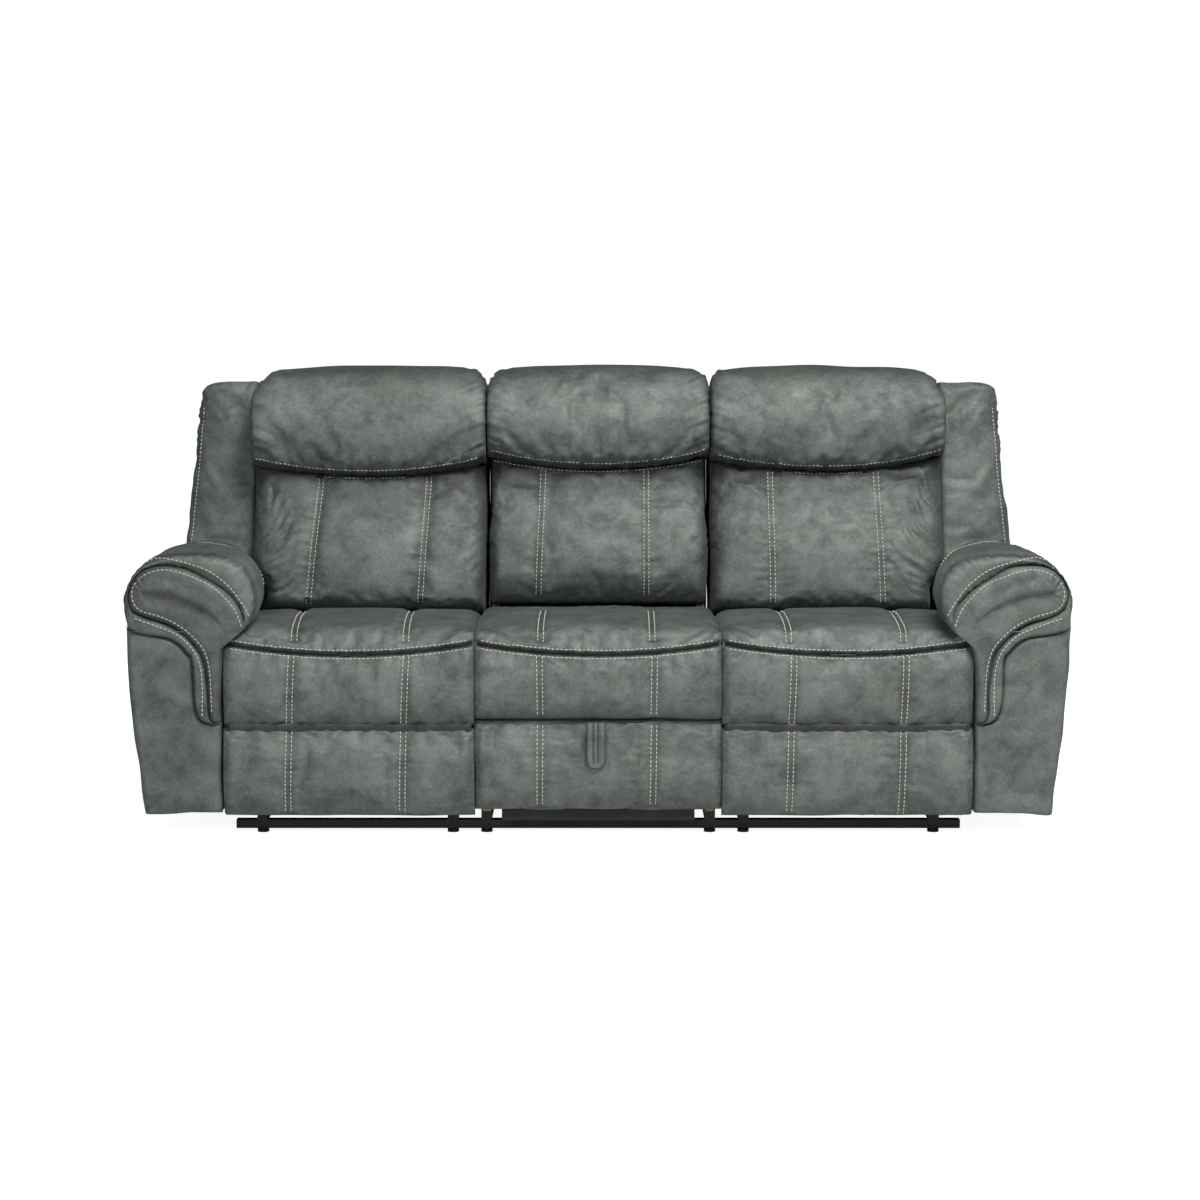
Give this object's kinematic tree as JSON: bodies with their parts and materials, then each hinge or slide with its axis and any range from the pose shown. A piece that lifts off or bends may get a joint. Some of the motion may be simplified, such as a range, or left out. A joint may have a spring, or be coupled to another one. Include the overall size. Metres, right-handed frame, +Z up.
{
  "type": "reclining sofa",
  "caption": "Sofa with reclining end seats, swing-up footrests, a fixed middle seat over a storage drawer and a fold-down table with cup recesses.",
  "frame": {"origin": "on the floor under the middle of the bounding box", "axes": "+X across the sofa to the right as seen from the front, +Y towards the back, +Z up"},
  "size_m": [2.1794, 0.9799, 1.0715],
  "materials": {
    "suede": "brushed suede-like cloth, mottled dark green-grey, soft sheen",
    "timber": "plain sawn plywood and hardwood",
    "webbing": "woven elastic straps",
    "black_steel": "satin black powder coat",
    "zinc_steel": "zinc-plated runner",
    "black_plastic": "fine moulded grain",
    "lining": "black felted lining cloth over thin board",
    "thread": "thick cream topstitching thread"
  },
  "bodies": {
    "base": {"levelling_feet": "black_steel", "base_rails": "black_steel", "rear_skirt": "suede", "arm_frames": "timber", "arm_covers": "suede", "lever_bezels": "black_plastic", "left_arm_pad": "suede", "right_arm_pad": "suede", "middle_seat_frame": "timber", "middle_seat_webbing": "webbing", "middle_seat_cushion": "suede", "middle_back_frame": "timber", "middle_head_pillow": "suede", "middle_outside_back": "suede", "fixed_runners": "zinc_steel"},
    "table": {"table_pad": "suede", "table_board": "timber", "cup_liners": "black_plastic"},
    "drawer": {"drawer_box": "lining", "drawer_front": "suede", "drawer_runners": "zinc_steel"},
    "tab": {"pull_tab": "suede"},
    "left_seat": {"left_seat_mechanism": "black_steel", "left_seat_frame": "timber", "left_seat_webbing": "webbing", "left_seat_cushion": "suede"},
    "left_back": {"left_back_frame": "timber", "left_back_brackets": "black_steel", "left_lumbar_cushion": "suede", "left_head_pillow": "suede", "left_outside_back": "suede", "left_wing": "suede"},
    "left_flap": {"left_flap_board": "timber", "left_flap_hardware": "black_steel", "left_flap_pad": "suede"},
    "left_footrest": {"left_footrest_board": "timber", "left_footrest_hinges": "black_steel", "left_footrest_pad": "suede"},
    "left_links": {"left_rear_links": "black_steel"},
    "left_couplers": {"left_coupler_links": "black_steel"},
    "left_lever": {"left_release_lever": "black_plastic"},
    "right_seat": {"right_seat_mechanism": "black_steel", "right_seat_frame": "timber", "right_seat_webbing": "webbing", "right_seat_cushion": "suede"},
    "right_back": {"right_back_frame": "timber", "right_back_brackets": "black_steel", "right_lumbar_cushion": "suede", "right_head_pillow": "suede", "right_outside_back": "suede", "right_wing": "suede"},
    "right_flap": {"right_flap_board": "timber", "right_flap_hardware": "black_steel", "right_flap_pad": "suede"},
    "right_footrest": {"right_footrest_board": "timber", "right_footrest_hinges": "black_steel", "right_footrest_pad": "suede"},
    "right_links": {"right_rear_links": "black_steel"},
    "right_couplers": {"right_coupler_links": "black_steel"},
    "right_lever": {"right_release_lever": "black_plastic"}
  },
  "joints": [
    {"name": "left_seat_glide", "type": "slide", "parent": "base", "child": "left_seat", "axis": [0, -1, 0], "range_m": [0, 0.045]},
    {"name": "left_back_recline", "type": "hinge", "parent": "left_seat", "child": "left_back", "pos_m": [-0.5645, 0.23, 0.3], "axis": [-1, 0, 0], "range_deg": [0, 35]},
    {"name": "left_footrest_swing", "type": "hinge", "parent": "left_seat", "child": "left_flap", "pos_m": [-0.5645, -0.47, 0.4295], "axis": [-1, 0, 0], "range_deg": [0, 78]},
    {"name": "left_footrest_tilt", "type": "hinge", "parent": "left_flap", "child": "left_footrest", "pos_m": [-0.5645, -0.476, 0.263], "axis": [-1, 0, 0], "range_deg": [0, 14.1]},
    {"name": "left_link_swing", "type": "hinge", "parent": "left_seat", "child": "left_links", "pos_m": [-0.5645, -0.366, 0.3255], "axis": [-1, 0, 0], "range_deg": [0, 78.5]},
    {"name": "left_coupler_turn", "type": "hinge", "parent": "left_links", "child": "left_couplers", "pos_m": [-0.5645, -0.31, 0.196], "axis": [-1, 0, 0], "range_deg": [-78.5, 0]},
    {"name": "left_lever_pull", "type": "hinge", "parent": "base", "child": "left_lever", "pos_m": [-1.0791, -0.147, 0.372], "axis": [0, 0, 1], "range_deg": [0, 35], "stiffness_Nm_per_rad": 0.4, "springref_deg": -17.19},
    {"name": "right_seat_glide", "type": "slide", "parent": "base", "child": "right_seat", "axis": [0, -1, 0], "range_m": [0, 0.045]},
    {"name": "right_back_recline", "type": "hinge", "parent": "right_seat", "child": "right_back", "pos_m": [0.5645, 0.23, 0.3], "axis": [-1, 0, 0], "range_deg": [0, 35]},
    {"name": "right_footrest_swing", "type": "hinge", "parent": "right_seat", "child": "right_flap", "pos_m": [0.5645, -0.47, 0.4295], "axis": [-1, 0, 0], "range_deg": [0, 78]},
    {"name": "right_footrest_tilt", "type": "hinge", "parent": "right_flap", "child": "right_footrest", "pos_m": [0.5645, -0.476, 0.263], "axis": [-1, 0, 0], "range_deg": [0, 14.1]},
    {"name": "right_link_swing", "type": "hinge", "parent": "right_seat", "child": "right_links", "pos_m": [0.5645, -0.366, 0.3255], "axis": [-1, 0, 0], "range_deg": [0, 78.5]},
    {"name": "right_coupler_turn", "type": "hinge", "parent": "right_links", "child": "right_couplers", "pos_m": [0.5645, -0.31, 0.196], "axis": [-1, 0, 0], "range_deg": [-78.5, 0]},
    {"name": "right_lever_pull", "type": "hinge", "parent": "base", "child": "right_lever", "pos_m": [1.0791, -0.147, 0.372], "axis": [0, 0, -1], "range_deg": [0, 35], "stiffness_Nm_per_rad": 0.4, "springref_deg": -17.19},
    {"name": "table_fold", "type": "hinge", "parent": "base", "child": "table", "pos_m": [0, 0.17152, 0.578], "axis": [1, 0, 0], "range_deg": [0, 102]},
    {"name": "drawer_slide", "type": "slide", "parent": "base", "child": "drawer", "axis": [0, -1, 0], "range_m": [0, 0.35]},
    {"name": "tab_swing", "type": "hinge", "parent": "drawer", "child": "tab", "pos_m": [-0.006, -0.4865, 0.2765], "axis": [-1, 0, 0], "range_deg": [0, 80]}
  ],
  "couplings": [
    {"joint": "left_back_recline", "follows": "left_seat_glide", "rad_per_m": 13.57},
    {"joint": "left_footrest_tilt", "follows": "left_footrest_swing", "ratio": 0.18},
    {"joint": "left_link_swing", "follows": "left_footrest_swing", "ratio": 1},
    {"joint": "left_coupler_turn", "follows": "left_footrest_swing", "ratio": -1},
    {"joint": "right_back_recline", "follows": "right_seat_glide", "rad_per_m": 13.57},
    {"joint": "right_footrest_tilt", "follows": "right_footrest_swing", "ratio": 0.18},
    {"joint": "right_link_swing", "follows": "right_footrest_swing", "ratio": 1},
    {"joint": "right_coupler_turn", "follows": "right_footrest_swing", "ratio": -1}
  ]
}
